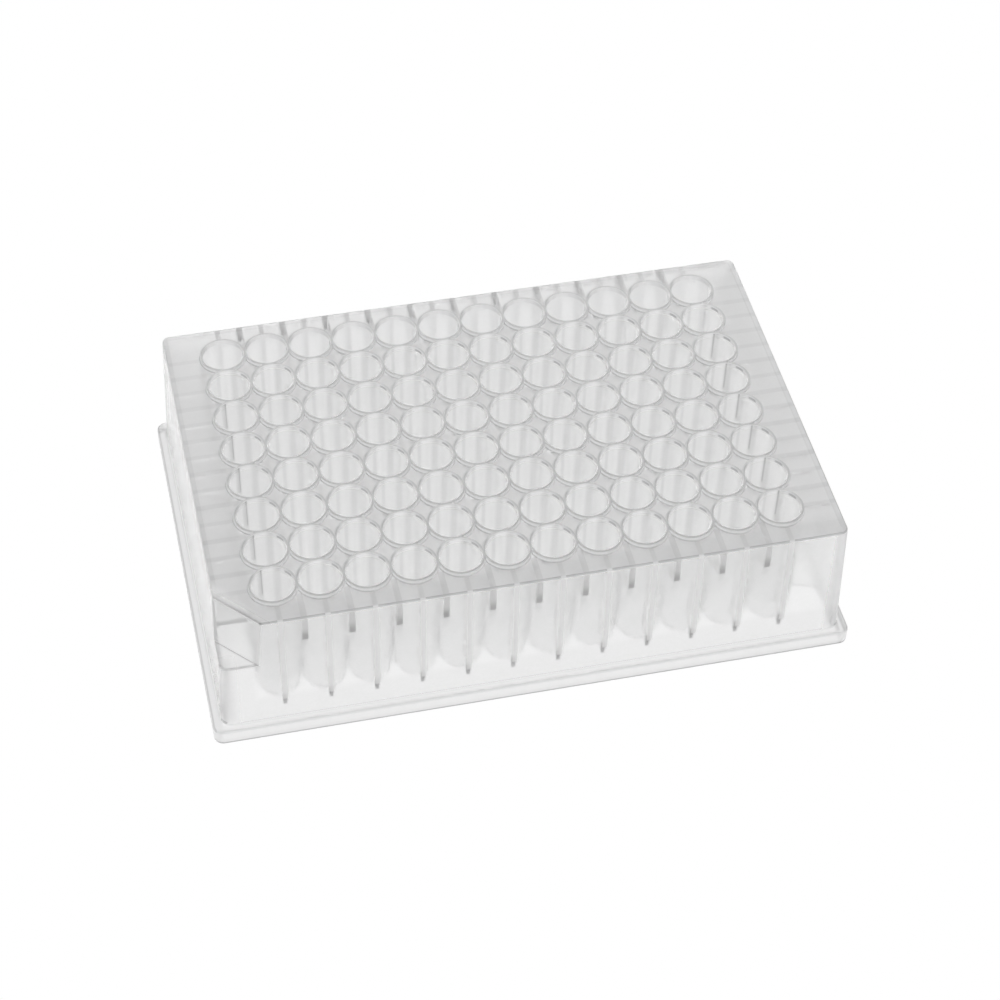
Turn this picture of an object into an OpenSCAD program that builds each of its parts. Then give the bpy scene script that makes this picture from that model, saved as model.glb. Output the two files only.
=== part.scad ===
// Deep-well plate, 96 round wells in 8 rows of 12, moulded in one piece.
// Rows run along X and are counted from the back, columns run along Y.
// The origin is the middle of the footprint, on the plane it stands on.

/* [Footprint] */
// Length of the base flange along X
plate_l = 127.76; // [127.5:0.01:128]
// Width of the base flange along Y
plate_w = 85.48; // [85.2:0.01:85.8]
// Height from the resting plane to the well mouths
plate_h = 31.5; // [27:0.1:42]
// Radius of the flange's upright corners
flange_r = 1.9; // [1.6:0.1:4]
// Height of the base flange
flange_h = 3.3; // [2.4:0.1:5]

/* [Skirt] */
// Length of the body along X at the deck
top_l = 122.0; // [121:0.1:123]
// Width of the body along Y at the deck
top_w = 79.95; // [79:0.05:81]
// How far each wall spreads from the deck down to the flange
draft = 1.05; // [0.2:0.05:1.2]
// Radius of the body's upright corners at the deck
body_r = 1.6; // [1.3:0.1:4]
// Thickness of the outer wall
wall_t = 1.2; // [1:0.1:1.6]

/* [Deck] */
// Depth of the deck below the well mouths
collar_h = 0.9; // [0.4:0.1:1.4]
// Thickness of the deck plate
deck_t = 1.2; // [0.9:0.1:2]

/* [Wells] */
// Number of wells in a row
cols = 12; // [4:1:12]
// Number of rows
rows = 8; // [3:1:8]
// Distance between neighbouring well axes
pitch = 9; // [9:0.01:9.02]
// Bore radius at the mouth
bore_top = 4.2; // [4:0.05:4.25]
// Bore radius where the round bottom starts
bore_low = 3.95; // [3.7:0.05:4]
// Outer radius of a well at the deck
tube_top = 4.72; // [4.6:0.02:4.8]
// Outer radius of a well where the round bottom starts
tube_low = 4.58; // [4.56:0.02:4.7]
// Gap between the resting plane and the underside of a well
well_lift = 0.9; // [0.6:0.1:2]

/* [Ribs] */
// Thickness of the fins that run through the well axes
fin_t = 0.8; // [0.6:0.1:1]
// Height of a fin's lower end at the outer wall
fin_low = 5.6; // [5:0.1:8]
// Height of a fin's lower end at the outer wells
fin_high = 7.8; // [6:0.1:9]
// Height of the lower end of the webs between wells
web_low = 3.9; // [3.6:0.1:6]
// Thickness of the short gussets between the fins
gusset_t = 1.2; // [0.9:0.1:1.4]
// Height of a gusset's lower end at the outer wall
gusset_low = 23.5; // [20:0.1:24.5]

/* [Key corner] */
// Distance from the plate's axis to the corner cut, at the ledge
key_d = 67.2; // [66.6:0.1:68]
// Direction of the corner cut's face, from -X towards -Y
key_a = 43.2; // [42:0.1:45]
// Lean of the corner cut's face
key_tilt = 5; // [2:0.5:6]
// Height of the small ledge under the corner cut
key_z = 19.2; // [15:0.1:24]
// Height of the lower end of the fin beside the corner cut
key_fin_low = 22.7; // [20:0.1:24.5]

/* [Hidden] */
deck_z = plate_h - collar_h;
body_h = deck_z - flange_h;
low_l = top_l + 2 * draft;
low_w = top_w + 2 * draft;
sphere_z = well_lift + tube_low;
bore_taper = (bore_top - bore_low) / (plate_h - sphere_z);
// Inner faces of the four walls, a little into the wall so ribs join it
in_x = top_l / 2 - wall_t / 2;
in_y = top_w / 2 - wall_t / 2;
// Radius of the cavity's upright corners
in_r = max(body_r - wall_t, 0.4);
first_x = (cols - 1) / 2 * pitch;
first_y = (rows - 1) / 2 * pitch;

function col_x(c) = (c - (cols - 1) / 2) * pitch;
function row_y(r) = ((rows - 1) / 2 - r) * pitch;

// Flat plan of a rectangle with round corners
module plan(l, w, r) {
    square([l - 2 * r, w], center = true);
    square([l, w - 2 * r], center = true);
    for (x = [-1, 1], y = [-1, 1])
        translate([x * (l / 2 - r), y * (w / 2 - r)]) circle(r = r, $fn = 48);
}

// Solid box that spreads downwards, with round upright corners
module drafted(l, w, r, spread, z0, z1) {
    hull() {
        translate([0, 0, z1 - 0.01]) linear_extrude(0.01) plan32(l, w, r);
        translate([0, 0, z0]) linear_extrude(0.01) plan32(l + 2 * spread, w + 2 * spread, r + spread / 2);
    }
}

module plan32(l, w, r) {
    for (x = [-1, 1], y = [-1, 1])
        translate([x * (l / 2 - r), y * (w / 2 - r)]) circle(r = r, $fn = 32);
}

// Everything beyond the face of the corner cut and above the ledge
module key_space(inset) {
    intersection() {
        rotate([0, 0, 180 + key_a]) translate([key_d - inset, 0, key_z]) rotate([0, -key_tilt, 0])
            translate([0, -20, -10]) cube([24, 40, 40]);
        translate([-90, -80, key_z - inset]) cube([60, 60, 40]);
    }
}

// Outer wall, deck and base flange, hollow underneath, one corner cut back
module skirt() {
    difference() {
        union() {
            drafted(top_l, top_w, body_r, draft, flange_h - 0.5, deck_z);
            linear_extrude(flange_h) plan(plate_l, plate_w, flange_r);
        }
        difference() {
            drafted(top_l - 2 * wall_t, top_w - 2 * wall_t, in_r, draft, -0.5, deck_z - deck_t);
            key_space(wall_t);
        }
        translate([0, 0, -1]) linear_extrude(flange_h - 0.3) plan(plate_l - 3, plate_w - 3, flange_r - 1.4);
        key_space(0);
    }
}

// One well's outside: collar, tube and round bottom
module tube() {
    translate([0, 0, sphere_z]) cylinder(r1 = tube_low, r2 = tube_top, h = plate_h - sphere_z, $fn = 64);
    translate([0, 0, sphere_z]) sphere(r = tube_low, $fn = 64);
}

// One well's inside
module bore() {
    translate([0, 0, sphere_z]) cylinder(r1 = bore_low, r2 = bore_top + bore_taper, h = plate_h - sphere_z + 1, $fn = 64);
    translate([0, 0, sphere_z]) sphere(r = bore_low, $fn = 64);
}

// Profile of a fin that passes through one line of wells; a short one ends high up at -X
module fin_side(reach, last, short = false) {
    near = short
        ? [[-reach, key_fin_low], [-last - 2, key_fin_low - 0.3], [-last - 2, web_low]]
        : [[-reach, fin_low], [-last - tube_low, fin_high], [-last, web_low]];
    polygon(concat(near, [
        [last, web_low], [last + tube_low, fin_high], [reach, fin_low],
        [reach, deck_z - deck_t / 2], [-reach, deck_z - deck_t / 2]
    ]));
}

// Fins along the rows and the columns
module fins() {
    for (r = [0 : rows - 1])
        translate([0, row_y(r) + fin_t / 2, 0]) rotate([90, 0, 0]) linear_extrude(fin_t)
            fin_side(in_x, first_x, r == rows - 1);
    for (c = [0 : cols - 1])
        translate([col_x(c) - fin_t / 2, 0, 0]) rotate([90, 0, 90]) linear_extrude(fin_t) fin_side(in_y, first_y);
}

// Short gusset from the wall to the valley between two wells
module gusset_side(reach, last) {
    polygon([
        [last + 1.2, gusset_low - 1.9], [reach, gusset_low],
        [reach, deck_z - deck_t / 2], [last + 1.2, deck_z - deck_t / 2]
    ]);
}

module gussets() {
    for (c = [0 : cols - 2], s = [0, 180])
        translate([col_x(c) + pitch / 2, 0, 0]) rotate([0, 0, s]) translate([-gusset_t / 2, 0, 0])
            rotate([90, 0, 90]) linear_extrude(gusset_t) gusset_side(in_y, first_y);
    for (r = [0 : rows - 2], s = [-90, 90])
        translate([0, row_y(r) - pitch / 2, 0]) rotate([0, 0, s]) translate([-gusset_t / 2, 0, 0])
            rotate([90, 0, 90]) linear_extrude(gusset_t) gusset_side(in_x, first_x);
}

module well_plate() {
    color([0.86, 0.86, 0.86])
    difference() {
        union() {
            skirt();
            fins();
            gussets();
            for (c = [0 : cols - 1], r = [0 : rows - 1]) translate([col_x(c), row_y(r), 0]) tube();
        }
        for (c = [0 : cols - 1], r = [0 : rows - 1]) translate([col_x(c), row_y(r), 0]) bore();
    }
}

well_plate();
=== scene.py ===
import math
import bmesh
import bpy
from mathutils import Matrix, Vector


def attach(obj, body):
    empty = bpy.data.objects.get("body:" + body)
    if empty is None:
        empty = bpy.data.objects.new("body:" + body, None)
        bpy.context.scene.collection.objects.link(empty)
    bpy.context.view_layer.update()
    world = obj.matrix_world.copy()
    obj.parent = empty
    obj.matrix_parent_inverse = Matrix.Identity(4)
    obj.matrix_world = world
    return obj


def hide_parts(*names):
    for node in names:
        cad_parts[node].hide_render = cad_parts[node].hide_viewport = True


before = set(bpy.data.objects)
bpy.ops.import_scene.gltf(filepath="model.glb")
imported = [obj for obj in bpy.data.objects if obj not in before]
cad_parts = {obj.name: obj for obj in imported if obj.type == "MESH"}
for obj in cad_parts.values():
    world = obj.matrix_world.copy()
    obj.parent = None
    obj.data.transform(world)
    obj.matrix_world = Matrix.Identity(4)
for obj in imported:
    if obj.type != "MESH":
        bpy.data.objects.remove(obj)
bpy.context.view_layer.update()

# Deep-well plate, 96 round wells. Lengths in this part are millimetres; the mesh is scaled to metres at the end.
PITCH = 9.0
COLS, ROWS = 12, 8
H = 31.5
COLLAR = 0.9
DECK_T = 1.2
DECK = H - COLLAR
BORE_TOP, BORE_LOW = 4.2, 3.95
TUBE_TOP, TUBE_LOW = 4.72, 4.58
LIFT = 0.9
SPH = LIFT + TUBE_LOW
TOP_X, TOP_Y = 61.0, 39.975
DRAFT = 1.05
FL_X, FL_Y, FL_H, FL_R = 63.88, 42.74, 3.3, 1.9
BODY_R = 1.6
WALL = 1.2
SEG = 40


def col_x(c):
    return (c - (COLS - 1) / 2) * PITCH


def row_y(r):
    return ((ROWS - 1) / 2 - r) * PITCH


def spread(z):
    """How far the drafted wall has spread at height z."""
    return DRAFT * (DECK - z) / (DECK - FL_H)


def mesh_object(name, verts, faces, outward=False):
    me = bpy.data.meshes.new(name)
    me.from_pydata([tuple(v) for v in verts], [], faces)
    me.validate()
    me.update()
    if outward:
        bm = bmesh.new()
        bm.from_mesh(me)
        bmesh.ops.recalc_face_normals(bm, faces=bm.faces)
        bm.to_mesh(me)
        bm.free()
    ob = bpy.data.objects.new(name, me)
    bpy.context.scene.collection.objects.link(ob)
    return ob


def rounded(hx, hy, r, n=8):
    pts = []
    for cx, cy, a0 in ((hx - r, hy - r, 0), (r - hx, hy - r, 90), (r - hx, r - hy, 180), (hx - r, r - hy, 270)):
        for i in range(n + 1):
            a = math.radians(a0 + 90 * i / n)
            pts.append((cx + r * math.cos(a), cy + r * math.sin(a)))
    return pts


def loft(name, sections, n=8):
    """Closed solid through rounded rectangles, each (z, half length, half width, corner radius)."""
    verts, faces = [], []
    for z, hx, hy, r in sections:
        verts += [(x, y, z) for x, y in rounded(hx, hy, r, n)]
    m = 4 * (n + 1)
    for s in range(len(sections) - 1):
        a, b = s * m, (s + 1) * m
        for i in range(m):
            j = (i + 1) % m
            faces.append((a + i, a + j, b + j, b + i))
    faces.append(tuple(range(m - 1, -1, -1)))
    e = (len(sections) - 1) * m
    faces.append(tuple(range(e, e + m)))
    return mesh_object(name, verts, faces)


def lathe(name, profile, places, seg=SEG):
    """Closed solids of revolution: the profile runs from the axis at the bottom to the axis at the top."""
    verts, faces = [], []
    rings = profile[1:-1]
    for px, py in places:
        base = len(verts)
        verts.append((px, py, profile[0][1]))
        for r, z in rings:
            for i in range(seg):
                a = 2 * math.pi * (i + 0.5) / seg
                verts.append((px + r * math.cos(a), py + r * math.sin(a), z))
        top = len(verts)
        verts.append((px, py, profile[-1][1]))
        for i in range(seg):
            j = (i + 1) % seg
            faces.append((base, base + 1 + j, base + 1 + i))
            for k in range(len(rings) - 1):
                a, b = base + 1 + k * seg, base + 1 + (k + 1) * seg
                faces.append((a + i, a + j, b + j, b + i))
            e = base + 1 + (len(rings) - 1) * seg
            faces.append((e + i, e + j, top))
    return mesh_object(name, verts, faces)


def slabs(name, parts):
    """Flat ribs. Each part is (points, place): points are (u, z, half thickness), place maps (u, v, z) into the plate."""
    verts, faces = [], []
    for pts, place in parts:
        b, n = len(verts), len(pts)
        verts += [place(u, -t, z) for u, z, t in pts]
        verts += [place(u, t, z) for u, z, t in pts]
        faces.append(tuple(b + i for i in range(n)))
        faces.append(tuple(b + n + i for i in range(n - 1, -1, -1)))
        for i in range(n):
            j = (i + 1) % n
            faces.append((b + j, b + i, b + n + i, b + n + j))
    return mesh_object(name, verts, faces, outward=True)


def boolean(target, tool, op):
    md = target.modifiers.new("b", "BOOLEAN")
    md.operation = op
    md.solver = "MANIFOLD"
    md.object = tool
    ev = target.evaluated_get(bpy.context.evaluated_depsgraph_get())
    me = bpy.data.meshes.new_from_object(ev)
    target.modifiers.remove(md)
    old, spare = target.data, tool.data
    target.data = me
    bpy.data.meshes.remove(old)
    bpy.data.objects.remove(tool)
    bpy.data.meshes.remove(spare)


def arc(cx, cz, r, a0, a1, n):
    out = []
    for i in range(n + 1):
        a = math.radians(a0 + (a1 - a0) * i / n)
        out.append((cx + r * math.cos(a), cz + r * math.sin(a)))
    return out


def key_block(inset):
    """Everything beyond the corner cut's face and above its ledge."""
    a = math.radians(180 + 43.2)
    n, t = Vector((math.cos(a), math.sin(a), 0)), Vector((-math.sin(a), math.cos(a), 0))
    lean = math.tan(math.radians(5))
    verts = []
    for z in (19.2 - inset, 40.0):
        d = 67.2 - inset - (z - 19.2) * lean
        for s, o in ((-22, 0), (22, 0), (22, 24), (-22, 24)):
            verts.append(n * (d + o) + t * s + Vector((0, 0, z)))
    faces = [(0, 3, 2, 1), (4, 5, 6, 7), (0, 1, 5, 4), (1, 2, 6, 5), (2, 3, 7, 6), (3, 0, 4, 7)]
    return mesh_object("key", verts, faces, outward=True)


def outer_body():
    e, k = 0.45, 0.4
    sec = [(0.0, FL_X - 0.2, FL_Y - 0.2, FL_R - 0.2), (0.06, FL_X - 0.06, FL_Y - 0.06, FL_R - 0.06),
           (0.2, FL_X, FL_Y, FL_R), (FL_H - e, FL_X, FL_Y, FL_R)]
    for a in (30, 60, 90):
        o = e * (1 - math.cos(math.radians(a)))
        sec.append((FL_H - e + e * math.sin(math.radians(a)), FL_X - o, FL_Y - o, FL_R - o))
    for a in (0, 30, 60, 90):
        z = FL_H + k * (1 - math.cos(math.radians(a)))
        o = k * (1 - math.sin(math.radians(a)))
        sec.append((z + (0.001 if a == 0 else 0), TOP_X + spread(z) + o, TOP_Y + spread(z) + o, BODY_R + 0.5 + o))
    sec.append((DECK - e, TOP_X + spread(DECK - e), TOP_Y + spread(DECK - e), BODY_R))
    for a in (22.5, 45, 67.5, 90):
        o = e * (1 - math.cos(math.radians(a)))
        z = DECK - e + e * math.sin(math.radians(a))
        sec.append((z, TOP_X + spread(z) - o, TOP_Y + spread(z) - o, BODY_R - o))
    return loft("well_plate_moulding", sec)


def cavity():
    c = DECK - DECK_T
    x, y = TOP_X - WALL, TOP_Y - WALL
    return loft("cavity", [
        (-1.0, FL_X - 1.5, FL_Y - 1.5, 0.6), (FL_H - 1.5, FL_X - 1.5, FL_Y - 1.5, 0.6),
        (FL_H - 0.9, x + spread(2.4), y + spread(2.4), 0.95),
        (c - 0.3, x + spread(c), y + spread(c), 0.6),
        (c - 0.09, x + spread(c) - 0.09, y + spread(c) - 0.09, 0.6),
        (c, x + spread(c) - 0.3, y + spread(c) - 0.3, 0.6)])


def build_plate():
    body = outer_body()
    hollow = cavity()
    boolean(hollow, key_block(WALL), "DIFFERENCE")
    boolean(body, hollow, "DIFFERENCE")
    boolean(body, key_block(0.0), "DIFFERENCE")

    top = DECK - DECK_T / 2
    in_x, in_y = TOP_X - WALL / 2, TOP_Y - WALL / 2
    last_x, last_y = col_x(COLS - 1), row_y(0)

    def fin(reach, last, short=False):
        """A fin through one line of wells; beside the cut corner it ends high up."""
        near_end = [(-reach, 22.7), (-last - 2, 22.4), (-last - 2, 3.9)] if short else [(-reach, 5.6), (-last - TUBE_LOW, 7.8), (-last, 3.9)]
        pts = near_end + [(last, 3.9), (last + TUBE_LOW, 7.8), (reach, 5.6), (reach, top), (-reach, top)]
        return [(u, z, 0.31 + 0.12 * (z - 4) / 26) for u, z in pts]

    def gusset(reach, last):
        pts = [(last + 1.2, 21.6), (reach, 23.5), (reach, top), (last + 1.2, top)]
        return [(u, z, 0.55 if z < 25 else 0.62) for u, z in pts]

    boolean(body, slabs("row_fins", [(fin(in_x, last_x, r == ROWS - 1), (lambda u, v, z, y=row_y(r): (u, y + v, z)))
                                     for r in range(ROWS)]), "UNION")
    boolean(body, slabs("column_fins", [(fin(in_y, last_y), (lambda u, v, z, x=col_x(c): (x + v, u, z)))
                                        for c in range(COLS)]), "UNION")
    parts = []
    for s in (-1, 1):
        for c in range(COLS - 1):
            parts.append((gusset(in_y, last_y), (lambda u, v, z, x=col_x(c) + PITCH / 2, s=s: (x + v, s * u, z))))
        for r in range(ROWS - 1):
            parts.append((gusset(in_x, last_x), (lambda u, v, z, y=row_y(r) - PITCH / 2, s=s: (s * u, y + v, z))))
    boolean(body, slabs("gussets", parts), "UNION")

    q = 0.16
    tube = [(0, LIFT)]
    tube += [(TUBE_LOW * math.sin(math.radians(b)), SPH - TUBE_LOW * math.cos(math.radians(b))) for b in (14, 28, 42, 56, 69, 80)]
    tube += [(TUBE_LOW, SPH), (TUBE_TOP, H - q)] + arc(TUBE_TOP - q, H - q, q, 30, 90, 2) + [(0, H)]
    for k in (0, 1):
        places = [(col_x(c), row_y(r)) for c in range(COLS) for r in range(ROWS) if (c + r) % 2 == k]
        boolean(body, lathe("tubes", tube, places), "UNION")
    w = 0.14
    bore = [(0, SPH - BORE_LOW)]
    bore += [(BORE_LOW * math.sin(math.radians(b)), SPH - BORE_LOW * math.cos(math.radians(b))) for b in (12, 26, 40, 54, 67, 79)]
    bore += [(BORE_LOW, SPH), (BORE_TOP, H - w), (BORE_TOP + 0.04, H - w * 0.4), (BORE_TOP + w * 0.75, H),
             (BORE_TOP + w * 0.75, H + 1), (0, H + 1)]
    places = [(col_x(c), row_y(r)) for c in range(COLS) for r in range(ROWS)]
    boolean(body, lathe("bores", bore, places), "DIFFERENCE")

    me = body.data
    bm = bmesh.new()
    bm.from_mesh(me)
    bmesh.ops.triangulate(bm, faces=[f for f in bm.faces if len(f.verts) > 40])
    bm.to_mesh(me)
    bm.free()
    me.transform(Matrix.Scale(0.001, 4))
    me.polygons.foreach_set("use_smooth", [True] * len(me.polygons))
    me.set_sharp_from_angle(angle=math.radians(32))
    me.update()
    md = body.modifiers.new("normals", "WEIGHTED_NORMAL")
    md.keep_sharp = True
    md.weight = 50
    print("plate faces %d, triangles %d" % (len(me.polygons), sum(len(p.vertices) - 2 for p in me.polygons)))
    return body


class Nodes:
    """Short names for building a node tree."""

    def __init__(self, tree):
        self.tree = tree

    def new(self, kind, **props):
        n = self.tree.nodes.new("ShaderNode" + kind)
        for k, v in props.items():
            setattr(n, k, v)
        return n

    def put(self, socket, value):
        if isinstance(value, bpy.types.NodeSocket):
            self.tree.links.new(value, socket)
        else:
            socket.default_value = value

    def math(self, op, *args, clamp=False):
        n = self.new("Math", operation=op, use_clamp=clamp)
        for s, a in zip(n.inputs, args):
            self.put(s, a)
        return n.outputs[0]

    def step(self, x, a, b):
        """Smooth 0 to 1 as x goes from a to b; a may be above b."""
        n = self.new("MapRange", interpolation_type="SMOOTHSTEP")
        lo, hi, out0, out1 = (a, b, 0.0, 1.0) if a < b else (b, a, 1.0, 0.0)
        for s, v in zip(n.inputs, (x, lo, hi, out0, out1)):
            self.put(s, v)
        return n.outputs[0]

    def band(self, x, lo, hi, soft):
        return self.math("MULTIPLY", self.step(x, lo - soft, lo + soft), self.step(x, hi + soft, hi - soft))

    def both(self, *masks):
        out = masks[0]
        for m in masks[1:]:
            out = self.math("MULTIPLY", out, m)
        return out


def polypropylene():
    m = bpy.data.materials.new("natural_polypropylene")
    m.use_nodes = True
    t = Nodes(m.node_tree)
    bs = m.node_tree.nodes["Principled BSDF"]
    co = t.new("TexCoord").outputs["Object"]
    sep = t.new("SeparateXYZ")
    t.put(sep.inputs[0], co)
    x, y, z = (t.math("MULTIPLY", s, 1000.0) for s in sep.outputs)
    ax, ay = t.math("ABSOLUTE", x), t.math("ABSOLUTE", y)
    # offset from the nearest well axis, in mm

    def from_axis(v, n):
        cell = t.math("MINIMUM", t.math("MAXIMUM", t.math("FLOOR", t.math("DIVIDE", v, PITCH)), -n / 2), n / 2 - 1)
        return t.math("SUBTRACT", v, t.math("MULTIPLY_ADD", cell, PITCH, PITCH / 2))

    dx, dy = from_axis(x, COLS), from_axis(y, ROWS)
    r = t.math("SQRT", t.math("ADD", t.math("MULTIPLY", dx, dx), t.math("MULTIPLY", dy, dy)))
    grid = t.both(t.step(ax, 54.7, 54.6), t.step(ay, 36.7, 36.6))
    # lit gathers the painted shade that goes into the base colour; clear gathers how much less see-through the marks
    # make it
    lit = clear = 1.0

    def shade(mask, amount, cover=0.0):
        """Painted shade: a darker base colour by amount where the mask is 1, and less see-through by cover."""
        nonlocal lit, clear
        if amount:
            lit = t.math("MULTIPLY", lit, t.math("SUBTRACT", 1.0, t.math("MULTIPLY", mask, amount)))
        if cover:
            clear = t.math("MULTIPLY", clear, t.math("SUBTRACT", 1.0, t.math("MULTIPLY", mask, cover)))

    def inset(hx, hy, rad):
        """Distance beyond an upright wall with round corners, negative inside."""
        qx, qy = (t.math("MAXIMUM", t.math("SUBTRACT", t.math("ADD", v, rad), h), 0.0) for v, h in ((ax, hx), (ay, hy)))
        return t.math("SUBTRACT", t.math("SQRT", t.math("ADD", t.math("MULTIPLY", qx, qx), t.math("MULTIPLY", qy, qy))), rad)

    def anti(m):
        return t.math("SUBTRACT", 1.0, m)

    adx, ady = t.math("ABSOLUTE", dx), t.math("ABSOLUTE", dy)
    below = t.step(z, 30.62, 30.52)
    side = t.step(ay, 36.2, 36.4)
    end = t.step(ax, 54.2, 54.4)
    margin = t.math("MAXIMUM", side, end)
    off = t.math("ADD", t.math("MULTIPLY", side, adx), t.math("MULTIPLY", anti(side), ady))
    fin = t.step(off, 0.55, 0.45)
    gusset = t.step(off, 3.85, 3.95)
    top_face = t.both(t.band(z, 30.56, 30.64, 0.03), t.math("MAXIMUM", t.step(r, 4.7, 4.75), margin))
    in_x, in_y = t.step(ax, 60.75, 60.65), t.step(ay, 39.75, 39.65)
    inside = t.both(in_x, in_y)
    # ribs stop at the outer rows and columns
    columns, rows = t.step(ax, 51.2, 51.0), t.step(ay, 33.2, 33.0)
    valleys_x, valleys_y = t.step(ax, 47.2, 47.0), t.step(ay, 29.2, 29.0)

    ahead = t.step(y, 30.0, -32.0)
    # distance beyond the cut corner's face
    a = math.radians(180 + 43.2)
    lean = math.tan(math.radians(5))
    s = t.math("ADD", t.math("MULTIPLY", x, math.cos(a)), t.math("MULTIPLY_ADD", y, math.sin(a), -67.2))
    s = t.math("ADD", s, t.math("MULTIPLY", t.math("SUBTRACT", z, 19.2), lean))
    near = t.step(t.math("ABSOLUTE", s), 0.3, 0.2)
    away = t.step(s, -1.2, -3.5)

    # mouths: painted shade makes the inner edge and the foot of each raised collar read as fine dark lines, where
    # refraction at these edges darkens them; painted shade and less see-through also hide glints just inside the mouths
    notch = t.both(t.step(adx, 0.45, 0.35), t.step(y, 34.0, 34.2))
    lip = t.math("MULTIPLY_ADD", t.step(dy, -2.0, 2.0), 0.12, r)
    faint = t.math("MULTIPLY_ADD", t.step(dy, 2.2, 3.6), -0.6, 1.0)
    shade(t.both(grid, t.band(lip, 4.22, 4.66, 0.09), t.step(z, 31.1, 31.3), anti(notch), faint), t.math("MULTIPLY_ADD", ahead, 0.1, MOUTH), 0.65)
    shade(t.both(grid, t.band(r, 4.1, 4.5, 0.05), t.step(z, 31.1, 31.3), anti(notch)), 0.02, 0.6)
    shade(t.both(grid, t.band(r, 4.1, 4.4, 0.05), t.step(z, 29.8, 30.6), t.step(dx, -1.5, -2.6), t.band(dy, 0.7, 3.0, 0.6)), 0.15, 0.5)
    quiet = t.math("MULTIPLY_ADD", t.both(t.step(dx, -0.5, 1.5), t.step(dy, 1.0, 0.0)), -0.5, 1.0)
    quiet = t.math("MULTIPLY", quiet, t.math("MULTIPLY_ADD", t.step(dy, 1.5, 3.5), -0.5, 1.0))
    shade(t.both(grid, t.band(r, 4.66, 4.86, 0.04), t.band(z, 30.5, 30.8, 0.04), quiet), FOOT, 0.5)
    # painted shade over the glints on the collars' outer side, towards the front right
    shade(t.both(grid, t.band(z, 30.66, 31.36, 0.04), t.step(r, 4.5, 4.6)), t.math("MULTIPLY", t.both(t.step(dx, 0.0, 1.5), t.step(dy, 1.0, 0.0)), 0.07), 0.6)
    # painted shade at the top of the bores' back half, less in the middle
    shade(t.both(grid, t.step(r, 4.3, 4.25), t.band(z, 30.4, 31.42, 0.1), t.step(dy, -0.5, 1.0)), t.math("MULTIPLY_ADD", t.step(adx, 0.8, 1.8), 0.07, 0.02), 0.6)
    shade(t.both(grid, t.step(r, 4.3, 4.25), t.band(z, 30.4, 31.42, 0.1), t.step(dx, 1.5, 2.5), t.band(dy, -2.4, 0.0, 0.6)), 0.0, 0.5)
    # painted shade: a short darker arc on the edge, towards the next valley
    turn = t.math("ARCTAN2", dy, dx)
    shade(t.both(grid, t.band(r, 4.1, 4.3, 0.04), t.band(turn, 0.42, 0.85, 0.06), t.band(z, 30.65, 31.2, 0.08), t.step(y, 30.0, 29.0)), ARC, 0.5)
    # painted shade: faint dark stripes down the bores, in place of the bands that refraction draws there
    stripe_ramp = t.new("ValToRGB")
    t.put(stripe_ramp.inputs[0], t.math("MULTIPLY_ADD", turn, 0.5 / math.pi, 0.5))
    stripe_stops = [(-180, 0.1), (-30, 0.5), (14, 0.5), (25, 0.0), (40, 0.05), (57, 0.15), (65, 1.0), (74, 1.0), (80, 0.5), (84, 0.1), (107, 0.15),
             (112, 0.95), (118, 0.85), (123, 0.0), (132, 0.0), (142, 0.0), (154, 0.0), (180, 0.05)]
    ramp = stripe_ramp.color_ramp
    while len(ramp.elements) < len(stripe_stops):
        ramp.elements.new(0.5)
    for e, (deg, v) in zip(ramp.elements, stripe_stops):
        e.position = (deg + 180) / 360
        e.color = (v, v, v, 1)
    bore = t.both(grid, t.step(r, 4.3, 4.25), t.step(z, 7.5, 8.5), t.step(z, 31.4, 31.3))
    first_row = t.step(y, 29.5, 31.5)
    shade(t.both(bore, stripe_ramp.outputs[0], anti(first_row)), STRIPE_SHADE)
    # painted shade in the first row's bores, greyer on the right over a glint
    shade(t.both(bore, first_row, t.step(dy, -1.0, 1.0)), 0.05)
    shade(t.both(bore, first_row, t.step(dx, 2.0, 3.4)), 0.08, 0.6)
    shade(bore, 0.0, 0.2)
    first_column, last_column = t.step(x, -45.0, -45.2), t.step(x, 45.0, 45.2)
    # painted shade in the bores of the first and last columns, with a dark streak in each
    shade(t.both(bore, t.step(y, 18.2, 18.0), t.math("MAXIMUM", first_column, last_column)), 0.05, 0.3)
    painted_streak = t.both(bore, t.step(y, 18.2, 18.0), t.step(z, 24.0, 25.0))
    shade(t.both(painted_streak, first_column, t.band(turn, 1.945, 2.0, 0.02)), 0.4, 0.3)
    shade(t.both(painted_streak, first_column, t.band(turn, 1.98, 2.2, 0.05)), 0.12)
    shade(t.both(painted_streak, last_column, t.band(turn, 1.285, 1.365, 0.02)), 0.36, 0.3)
    # painted shade on the outsides of the wells, under the deck
    shade(t.both(grid, t.step(r, 4.4, 4.5), below), TUBE)
    # painted shade in the creases where the outer rows' wells run into each other
    shade(t.both(grid, t.step(adx, 4.15, 4.3), t.step(r, 5.0, 4.9), t.step(ay, 31.4, 31.6), t.band(z, 8.0, 24.0, 0.5)), VALLEY_SHADE)
    # painted shade on the fin ends and gussets behind the long walls, and on the long walls' outer face where the
    # gussets and fins show through
    shade(t.both(t.step(ay, 38.2, 38.5), inside, fin, columns, t.step(z, 8.9, 8.8)), TICK)
    shade(t.both(side, inside, t.band(z, 21.3, 29.4, 0.1), gusset, valleys_x), GUSSET)
    long_wall = t.both(t.step(ay, 39.9, 40.0), t.step(ay, 41.2, 41.1))
    shade(t.both(long_wall, t.step(z, 30.1, 30.0), t.step(z, 3.3, 3.4)), 0.0, 0.15)
    shade(t.both(long_wall, t.step(adx, 3.86, 3.94), t.band(z, 24.4, 30.2, 0.08), valleys_x), BAR, 0.6)
    shade(t.both(long_wall, t.step(adx, 3.9, 3.98), t.step(z, 24.4, 24.5), t.step(z, 27.6, 24.9), valleys_x), BAR_END)
    shade(t.both(long_wall, t.step(adx, 0.6, 0.4), t.band(z, 8.5, 30.2, 0.3), columns), FIN_LINE, 0.75)
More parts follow.
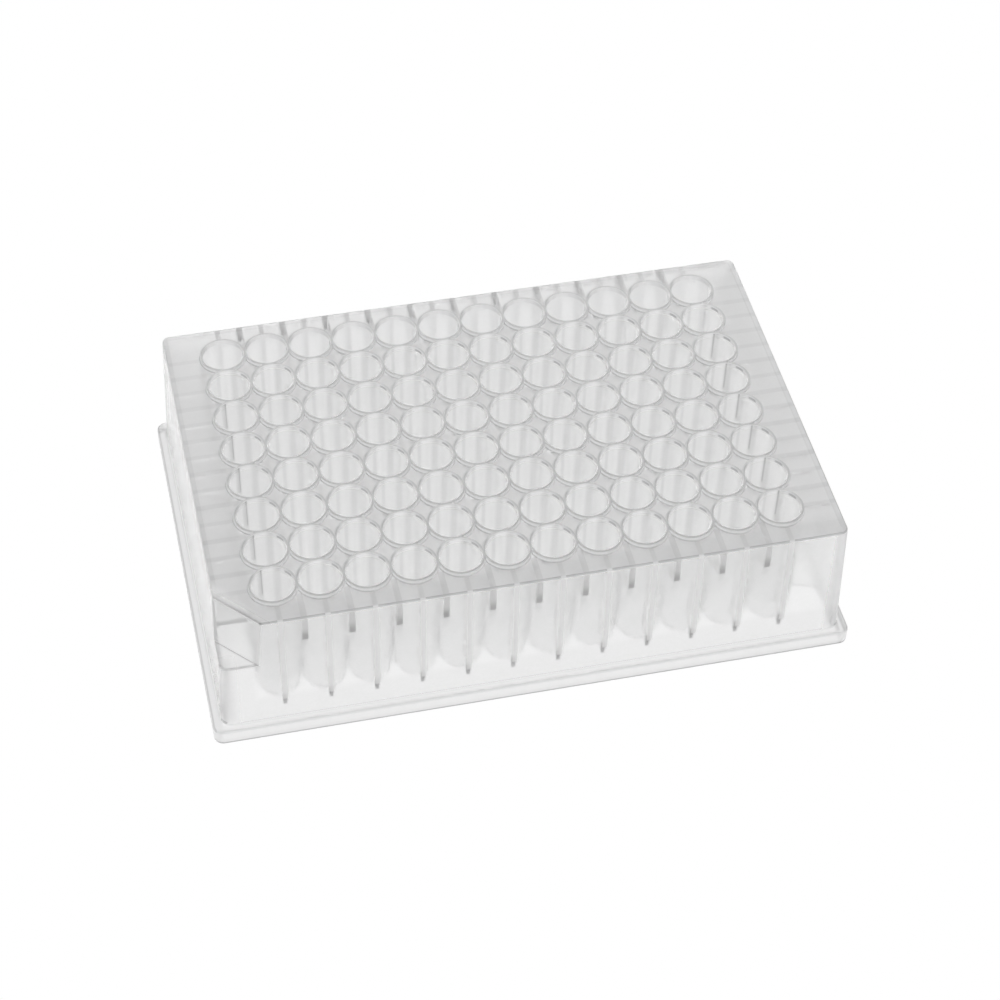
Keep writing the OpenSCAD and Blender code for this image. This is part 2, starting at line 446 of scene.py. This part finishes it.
    # painted shade on the deck plate, on the ribs that run on under it and on its rim; darker towards the front
    front, back = t.step(y, -36.2, -36.4), t.step(y, 33.0, 37.0)
    ends = t.step(ax, 51.5, 55.5)
    shade(t.both(top_face, t.step(y, -33.5, -37.5)), FRONT_SHADE)
    soft_fin = t.step(off, 0.7, 0.3)
    shade(t.both(top_face, ends, anti(back), away), t.math("MULTIPLY_ADD", t.both(ahead, t.step(x, 50.0, -50.0)), 0.1, END_SHADE))
    shade(t.both(top_face, soft_fin, rows, end), t.math("MULTIPLY_ADD", ahead, 0.03, 0.07))
    shade(t.both(top_face, t.step(ady, 3.7, 4.1), valleys_y, t.step(ax, 52.0, 52.6)), t.math("MULTIPLY_ADD", ahead, 0.05, 0.07))
    shade(t.both(top_face, t.step(adx, 3.85, 3.95), t.step(ay, 33.9, 34.3), valleys_x), GUSSET_TOP)
    shade(t.both(top_face, soft_fin, side, columns), RIB_TOP)
    shade(t.both(top_face, front, t.step(dx, 0.5, 0.7)), 0.025)
    depth = inset(TOP_X, TOP_Y, BODY_R)
    brow = t.both(t.step(t.math("ADD", z, depth), 30.24, 30.3), t.step(z, 30.1, 30.2))
    long_edge = t.step(ay, 38.9, 39.3)
    west = t.step(x, 0.0, -1.0)
    shade(t.both(brow, long_edge, t.math("MULTIPLY_ADD", t.both(fin, side), -0.8, 1.0)), RIM, 0.5)
    shade(t.both(brow, anti(long_edge)), t.math("MULTIPLY_ADD", t.both(anti(west), ahead), 0.3, RIM_END), 0.3)
    shade(t.both(top_face, t.step(x, -59.7, -60.0), away), 0.08, 0.3)
    shade(t.both(top_face, t.step(x, 59.7, 60.0)), t.math("MULTIPLY_ADD", ahead, 0.06, 0.03))
    # painted shade where the walls' inner faces show through the deck, not at the front
    shade(t.both(top_face, t.band(depth, -1.35, -1.1, 0.06), t.step(y, -38.4, -38.2), t.step(x, -59.6, -59.3)), 0.09)
    shade(t.both(top_face, t.step(x, 54.6, 55.4)), 0.0, 0.3)
    # cut corner: painted shade on its face, ledge and creases, and on the short fin's lower edge that shows through the
    # face
    shade(t.both(t.step(s, -1.9, -1.6), top_face), 0.0, 0.5)
    shade(t.both(t.step(s, -0.45, -0.35), t.step(z, 30.25, 30.35)), KEY_LINE, 0.6)
    shade(t.both(t.step(s, -0.3, -0.2), t.band(z, 19.4, 30.2, 0.1)), KEY_FACE, 0.3)
    shade(t.both(near, t.step(x, -60.65, -60.8), t.band(z, 19.4, 30.2, 0.1)), 0.3, 0.5)
    shade(t.both(t.step(x, -54.4, -54.6), t.band(z, 22.2, 23.1, 0.1), t.band(y, -32.1, -30.9, 0.1)), 0.65, 0.6)
    shade(t.both(t.step(x, -54.4, -54.6), t.band(z, 23.1, 29.4, 0.1), t.band(y, -32.1, -30.9, 0.1)), 0.1)
    shade(t.both(near, t.band(z, 19.0, 19.4, 0.05)), LEDGE_LINE, 0.6)
    ledge = t.both(t.step(s, -0.1, 0.1), t.band(z, 18.9, 19.3, 0.05))
    wide = spread(19.2)
    shade(ledge, 0.0, 0.45)
    shade(t.both(ledge, t.step(inset(TOP_X + wide, TOP_Y + wide, BODY_R + 0.2), -0.55, -0.4)), LEDGE_LINE * 0.6, 0.3)
    shade(t.both(ledge, t.step(x, -60.6, -60.75)), 0.1)
    # flange: painted shade on the foot edge, the crease at its top and the flange itself
    brim = t.step(inset(FL_X, FL_Y, FL_R), -0.35, -0.2)
    shade(t.both(t.step(z, 0.6, 0.4), brim), BASE_EDGE)
    root = t.step(inset(TOP_X + 1.5, TOP_Y + 1.5, 3.3), 0.0, -0.1)
    outer = t.math("MAXIMUM", t.step(ax, 61.9, 62.0), t.step(ay, 40.9, 41.0))
    shade(t.both(t.band(z, 3.2, 3.5, 0.05), root, outer), CREASE)
    shade(t.both(t.step(z, 3.4, 3.3), outer), FLANGE)
    shade(t.both(t.step(z, 2.85, 2.95), t.step(inset(FL_X, FL_Y, FL_R), -0.45, -0.35)), t.math("MULTIPLY_ADD", t.step(ax, 63.2, 63.4), 0.2, 0.03), 0.4)
    # painted shade on the upright corners of the body and their feet, and on the long walls
    flare = t.math("MULTIPLY", t.math("SUBTRACT", DECK, z), DRAFT / (DECK - FL_H) * 1.72)
    turned = t.math("SUBTRACT", t.math("MULTIPLY_ADD", flare, -0.305, ay), TOP_Y - BODY_R)
    outside = t.math("SUBTRACT", t.math("MULTIPLY_ADD", flare, -0.581, ax), TOP_X)
    shade(t.both(t.band(turned, 0.1, 0.65, 0.15), t.step(outside, -0.45, -0.35), t.band(z, 3.7, 30.1, 0.1)), CORNER, 0.5)
    shade(t.both(t.band(z, 3.4, 3.95, 0.05), t.band(ay, 39.3, 40.7, 0.1), t.step(ax, 60.9, 61.1), t.step(ax, 62.3, 62.2)), HOOK, 0.4)
    shade(t.both(t.band(z, 3.4, 4.0, 0.05), t.step(ax, 61.9, 62.0), t.step(ay, 38.5, 38.4)), 0.06, 0.5)
    # painted shade on the long walls, more low down and at the left end, and on the body's inner corners
    shade(t.both(t.step(z, 30.1, 30.0), long_wall, t.step(z, 3.3, 3.4)), WALL_SHADE)
    corner = t.both(t.step(ax, 59.2, 59.5), t.step(ay, 37.0, 37.3), t.step(z, 30.1, 30.0), t.step(z, 3.3, 3.4), anti(ledge))
    shade(t.both(corner, t.step(ay, 39.9, 39.8)), 0.15)
    shade(t.both(long_wall, t.math("MAXIMUM", t.step(z, 11.0, 8.5), t.step(x, -54.0, -56.0)), t.step(z, 3.3, 3.4), t.step(z, 30.1, 30.0)), 0.07)
    # raised collars: painted shade, darker on their outer side, and just under the mouths
    collar = t.both(grid, t.step(z, 30.62, 30.7), t.step(r, 4.25, 4.3))
    shade(collar, t.math("MULTIPLY_ADD", t.step(r, 4.56, 4.62), COLLAR_SIDE_SHADE, COLLAR_SHADE))
    shade(t.both(grid, t.step(r, 4.32, 4.26), t.band(z, 30.6, 31.15, 0.1), t.math("MULTIPLY_ADD", t.step(dy, 2.0, 3.4), -0.8, 1.0)), 0.12)
    noise = t.new("TexNoise")
    t.put(noise.inputs["Vector"], co)
    t.put(noise.inputs["Scale"], 260.0)
    t.put(noise.inputs["Detail"], 3.0)
    grain = t.new("TexNoise")
    t.put(grain.inputs["Vector"], co)
    t.put(grain.inputs["Scale"], 2600.0)
    t.put(grain.inputs["Detail"], 1.0)
    fine = t.new("TexNoise")
    t.put(fine.inputs["Vector"], co)
    t.put(fine.inputs["Scale"], 900.0)
    t.put(fine.inputs["Detail"], 2.0)
    cloud = t.math("MULTIPLY_ADD", noise.outputs[0], 0.04, t.math("MULTIPLY_ADD", fine.outputs[0], 0.04, t.math("MULTIPLY_ADD", grain.outputs[0], 0.06, 0.922)))
    lit = t.math("MULTIPLY", lit, cloud, clamp=True)
    mix = t.new("Mix", data_type="RGBA")
    t.put(mix.inputs[0], lit)
    mix.inputs[6].default_value = (0.0, 0.0, 0.0, 1)
    mix.inputs[7].default_value = (BASE, BASE, BASE, 1)
    t.put(bs.inputs["Base Color"], mix.outputs[2])
    # moulded faces are satin; the walls and the bores come from polished steel
    walls = t.both(t.step(z, 30.1, 30.0), t.step(z, 3.4, 3.5), t.math("MAXIMUM", t.step(ax, 59.5, 59.6), t.step(ay, 38.5, 38.6)))
    walls = t.math("MAXIMUM", walls, t.both(t.step(s, -1.5, -1.4), t.step(z, 17.5, 17.8)))
    walls = t.both(walls, anti(t.math("MULTIPLY", t.both(walls, t.step(ax, 58.2, 58.6)), t.math("MULTIPLY_ADD", t.step(ay, 37.0, 37.4), 1.0, 0.5))))
    bores = t.both(grid, t.step(r, 4.3, 4.25), t.step(z, 30.9, 30.7))
    tubes = t.both(grid, t.step(r, 4.9, 4.85), below, t.step(r, 4.3, 4.35))
    rough = t.math("MULTIPLY_ADD", walls, ROUGH_WALL - ROUGH, ROUGH - 0.03)
    rough = t.math("MULTIPLY_ADD", bores, ROUGH_BORE - ROUGH, rough)
    rough = t.math("MULTIPLY_ADD", tubes, ROUGH_TUBE - ROUGH, rough)
    rough = t.math("MULTIPLY_ADD", t.both(bores, first_row, t.step(dy, 0.5, 1.0)), 0.2, rough)
    rough = t.math("MULTIPLY_ADD", t.both(grid, t.step(z, 30.65, 30.75)), ROUGH_COLLAR - ROUGH, rough)
    t.put(bs.inputs["Roughness"], t.math("MULTIPLY_ADD", fine.outputs[0], 0.06, rough, clamp=True))
    veil = t.math("MAXIMUM", top_face, collar)
    veil = t.math("MULTIPLY_ADD", t.both(grid, t.step(z, 30.65, 30.75)), TRANS_COLLAR - TRANS_TOP, t.math("MULTIPLY_ADD", veil, TRANS_TOP - TRANS, TRANS))
    veil = t.math("MULTIPLY_ADD", t.both(top_face, back), 0.25, veil)
    veil = t.math("MULTIPLY_ADD", t.both(t.step(ax, 60.9, 61.0), t.band(z, 3.5, 30.1, 0.1)), 0.1, veil)
    t.put(bs.inputs["Transmission Weight"], t.math("MULTIPLY", veil, clear))
    bump = t.new("Bump")
    t.put(bump.inputs["Strength"], t.math("MULTIPLY_ADD", walls, -0.05, 0.06))
    t.put(bump.inputs["Distance"], 0.0001)
    t.put(bump.inputs["Height"], fine.outputs[0])
    t.put(bs.inputs["Normal"], bump.outputs[0])
    bs.inputs["IOR"].default_value = IOR
    va = t.new("VolumeAbsorption")
    va.inputs["Color"].default_value = (0, 0, 0, 1)
    va.inputs["Density"].default_value = VOL
    m.node_tree.links.new(va.outputs[0], m.node_tree.nodes["Material Output"].inputs["Volume"])
    return m


# amounts of painted shade, one for each mark
MOUTH, FOOT, ARC, TUBE, COLLAR_SHADE, COLLAR_SIDE_SHADE, STRIPE_SHADE, VALLEY_SHADE = 0.1, 0.26, 0.4, 0.045, 0.04, 0.15, 0.14, 0.25
FRONT_SHADE, END_SHADE, RIB_TOP, GUSSET_TOP = 0.11, 0.05, 0.13, 0.15
RIM, RIM_END, KEY_LINE, LEDGE_LINE, CORNER = 0.42, 0.2, 0.27, 0.18, 0.14
TICK, GUSSET, BAR, BAR_END, FIN_LINE = 0.5, 0.2, 0.28, 0.36, 0.1
BASE_EDGE, CREASE, WALL_SHADE, FLANGE, KEY_FACE, HOOK = 0.5, 0.11, 0.08, 0.085, 0.17, 0.35
BASE, ROUGH, ROUGH_BORE, ROUGH_TUBE, ROUGH_WALL, ROUGH_COLLAR = 1.0, 0.32, 0.2, 0.2, 0.16, 0.45
IOR, TRANS, TRANS_TOP, TRANS_COLLAR, VOL = 1.2, 0.85, 0.6, 0.5, 8.0

plate = build_plate()
plate.data.materials.clear()
plate.data.materials.append(polypropylene())
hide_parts("well_plate")
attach(plate, "root")

# floor: a plain white light table
fm = bpy.data.materials.new("white_floor")
fm.use_nodes = True
nt = fm.node_tree
nt.nodes.remove(nt.nodes["Principled BSDF"])
em = nt.nodes.new("ShaderNodeEmission")
em.inputs["Strength"].default_value = 1.0
nt.links.new(em.outputs[0], nt.nodes["Material Output"].inputs[0])
fm.cycles.emission_sampling = "NONE"
floor = mesh_object("floor", [(-10, -10, -0.0005), (10, -10, -0.0005), (10, 10, -0.0005), (-10, 10, -0.0005)], [(0, 1, 2, 3)])
floor.data.materials.append(fm)

# soft even light all round: white table below, a little less light above
sc = bpy.context.scene
world = bpy.data.worlds.new("studio")
sc.world = world
world.use_nodes = True
t = Nodes(world.node_tree)
bg = world.node_tree.nodes["Background"]
sep = t.new("SeparateXYZ")
t.put(sep.inputs[0], t.new("TexCoord").outputs["Generated"])
ramp = t.new("ValToRGB")
t.put(ramp.inputs[0], t.math("MULTIPLY_ADD", sep.outputs["Z"], 0.5, 0.5))
stops = [(0.0, 1.0), (0.45, 1.0), (0.5, 0.85), (0.65, 0.7), (1.0, 0.6)]
while len(ramp.color_ramp.elements) < len(stops):
    ramp.color_ramp.elements.new(0.5)
for e, (p, v) in zip(ramp.color_ramp.elements, stops):
    e.position = p
    e.color = (v, v, v, 1)
t.put(bg.inputs[0], ramp.outputs[0])
world.cycles.sampling_method = "NONE"

sc.view_settings.view_transform = "Standard"
sc.cycles.use_fast_gi = True
sc.cycles.fast_gi_method = "REPLACE"
sc.cycles.ao_bounces = 1
sc.cycles.ao_bounces_render = 1
world.light_settings.distance = 0.0001
world.light_settings.ao_factor = 1.0
sc.cycles.max_bounces = 48
sc.cycles.transmission_bounces = 48
sc.cycles.glossy_bounces = 6
sc.cycles.transparent_max_bounces = 8

# camera: three-quarter view from the front left, above
cam = bpy.data.cameras.new("camera")
eye = bpy.data.objects.new("camera", cam)
sc.collection.objects.link(eye)
cam.sensor_width = 36
cam.lens = 88.22906
cam.shift_x, cam.shift_y = 0.0482025, 0.0390979
cam.clip_start = 0.01
right = (0.9779064948991482, -0.20883417806121382, 0.00933666469139846)
down = (-0.14947885490999382, -0.7297900854194519, -0.6671300496591849)
ahead = (0.14613336090318108, 0.6509951745573593, -0.7448827582473461)
eye.matrix_world = Matrix((
    (right[0], -down[0], -ahead[0], -0.08243674),
    (right[1], -down[1], -ahead[1], -0.33066767),
    (right[2], -down[2], -ahead[2], 0.37869218),
    (0, 0, 0, 1)))
sc.camera = eye
